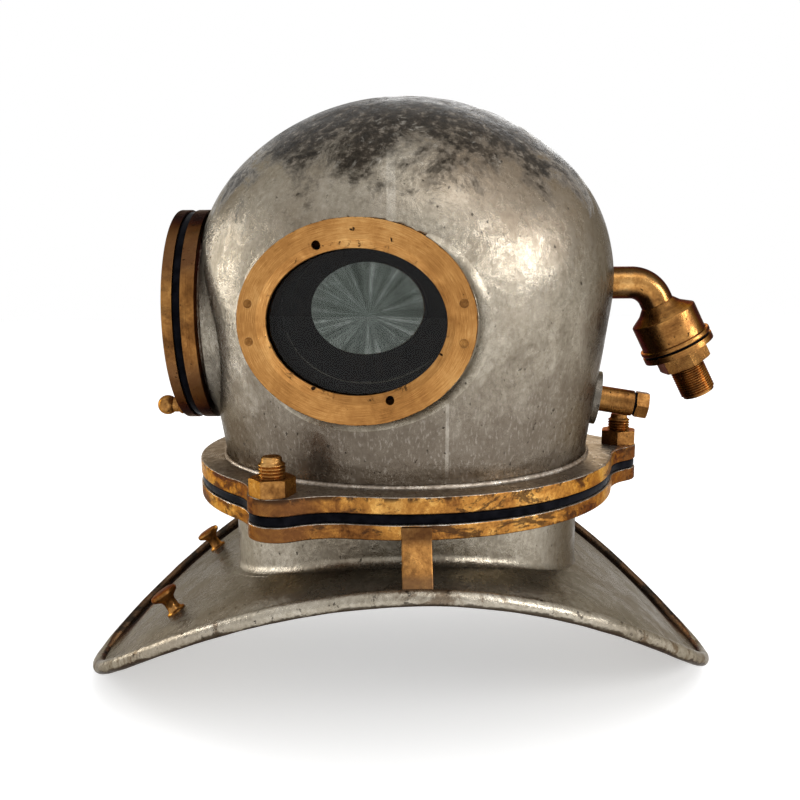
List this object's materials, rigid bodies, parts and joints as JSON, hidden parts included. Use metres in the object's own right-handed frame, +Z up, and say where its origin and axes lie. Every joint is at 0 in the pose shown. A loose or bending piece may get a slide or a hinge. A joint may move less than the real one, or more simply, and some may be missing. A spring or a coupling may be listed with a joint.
{
  "type": "diving helmet",
  "caption": "Standard-dress diving helmet: domed bonnet bolted to a saddle-shaped corselet, with a screw-in faceplate, side windows, air inlet, exhaust valve and telephone gland.",
  "frame": {"origin": "on the surface that the corselet's two rim tips stand on, on the axis of the neck", "axes": "+Z up; the faceplate looks along -Y; +X is the wearer's left"},
  "size_m": [0.3654, 0.4723, 0.4148],
  "materials": {
    "tinned_copper": "copper sheet with worn, dulled tinning",
    "brass": "aged, brushed, dark in the recesses",
    "rubber": "slightly glossy",
    "glass": "clear, polished",
    "spring_steel": "bright wire",
    "black_composite": "moulded, matt"
  },
  "bodies": {
    "corselet": {"corselet_plate": "tinned_copper", "rim_bead": "tinned_copper", "corselet_neck": "tinned_copper", "corselet_flange": "brass", "bonnet_studs": "brass", "neck_gasket": "rubber", "chest_stud_left": "brass", "chest_stud_right": "brass", "side_bracket_left": "brass", "side_bracket_right": "brass"},
    "nut_front_left": {"nut_front_left": "brass"},
    "nut_front_right": {"nut_front_right": "brass"},
    "nut_rear": {"nut_rear": "brass"},
    "faceplate_seat": {"faceplate_gasket": "rubber"},
    "faceplate": {"faceplate_ring": "brass", "faceplate_glass_seal": "rubber", "faceplate_glass": "glass", "faceplate_retainer": "brass", "faceplate_knobs": "brass"},
    "inlet_valve": {"valve_disc": "brass"},
    "exhaust_valve": {"exhaust_disc": "brass"},
    "gland_cap": {"phone_gland_cap": "brass"},
    "bonnet": {"bonnet_shell": "tinned_copper", "front_collar": "tinned_copper", "phone_base": "tinned_copper", "air_deflector": "tinned_copper", "bonnet_flange": "brass", "front_seat_ring": "brass", "air_elbow": "brass", "valve_body": "brass", "hose_nipple": "brass", "valve_guide": "brass", "phone_socket": "brass", "exhaust_body": "brass", "exhaust_cover": "brass", "valve_gasket": "rubber", "phone_seal": "rubber", "valve_spring": "spring_steel", "exhaust_spring": "spring_steel", "telephone_receiver": "black_composite", "left_window_collar": "tinned_copper", "left_window_bezel": "brass", "left_window_screws": "brass", "left_window_glass": "glass", "left_window_seals": "rubber", "right_window_collar": "tinned_copper", "right_window_bezel": "brass", "right_window_screws": "brass", "right_window_glass": "glass", "right_window_seals": "rubber"}
  },
  "joints": [
    {"name": "bonnet_lift", "type": "slide", "parent": "corselet", "child": "bonnet", "axis": [0, 0, 1], "range_m": [0, 0.08]},
    {"name": "nut_rear_turn", "type": "hinge", "parent": "bonnet", "child": "nut_rear", "pos_m": [0, 0.1628, 0.16875], "axis": [0, 0, 1], "continuous": true},
    {"name": "nut_front_right_turn", "type": "hinge", "parent": "bonnet", "child": "nut_front_right", "pos_m": [-0.14099, -0.0814, 0.16875], "axis": [0, 0, 1], "continuous": true},
    {"name": "nut_front_left_turn", "type": "hinge", "parent": "bonnet", "child": "nut_front_left", "pos_m": [0.14099, -0.0814, 0.16875], "axis": [0, 0, 1], "continuous": true},
    {"name": "faceplate_out", "type": "slide", "parent": "bonnet", "child": "faceplate_seat", "axis": [0, -1, 0], "range_m": [0, 0.0141]},
    {"name": "faceplate_turn", "type": "hinge", "parent": "faceplate_seat", "child": "faceplate", "pos_m": [0, -0.1603, 0.2636], "axis": [0, -1, 0], "range_deg": [0, 1260]},
    {"name": "valve_open", "type": "slide", "parent": "bonnet", "child": "inlet_valve", "axis": [0, -0.454, 0.891], "range_m": [0, 0.004], "stiffness_N_per_m": 120, "springref_m": -0.004, "deforming": ["valve_spring"]},
    {"name": "exhaust_open", "type": "slide", "parent": "bonnet", "child": "exhaust_valve", "axis": [-0.766, 0.6428, 0], "range_m": [0, 0.004], "stiffness_N_per_m": 150, "springref_m": -0.004, "deforming": ["exhaust_spring"]},
    {"name": "gland_cap_turn", "type": "hinge", "parent": "bonnet", "child": "gland_cap", "pos_m": [0.02701, 0.17055, 0.19695], "axis": [0.1547, 0.9768, -0.1478], "continuous": true}
  ],
  "couplings": [
    {"joint": "faceplate_out", "follows": "faceplate_turn", "m_per_rad": 0.00063662}
  ]
}
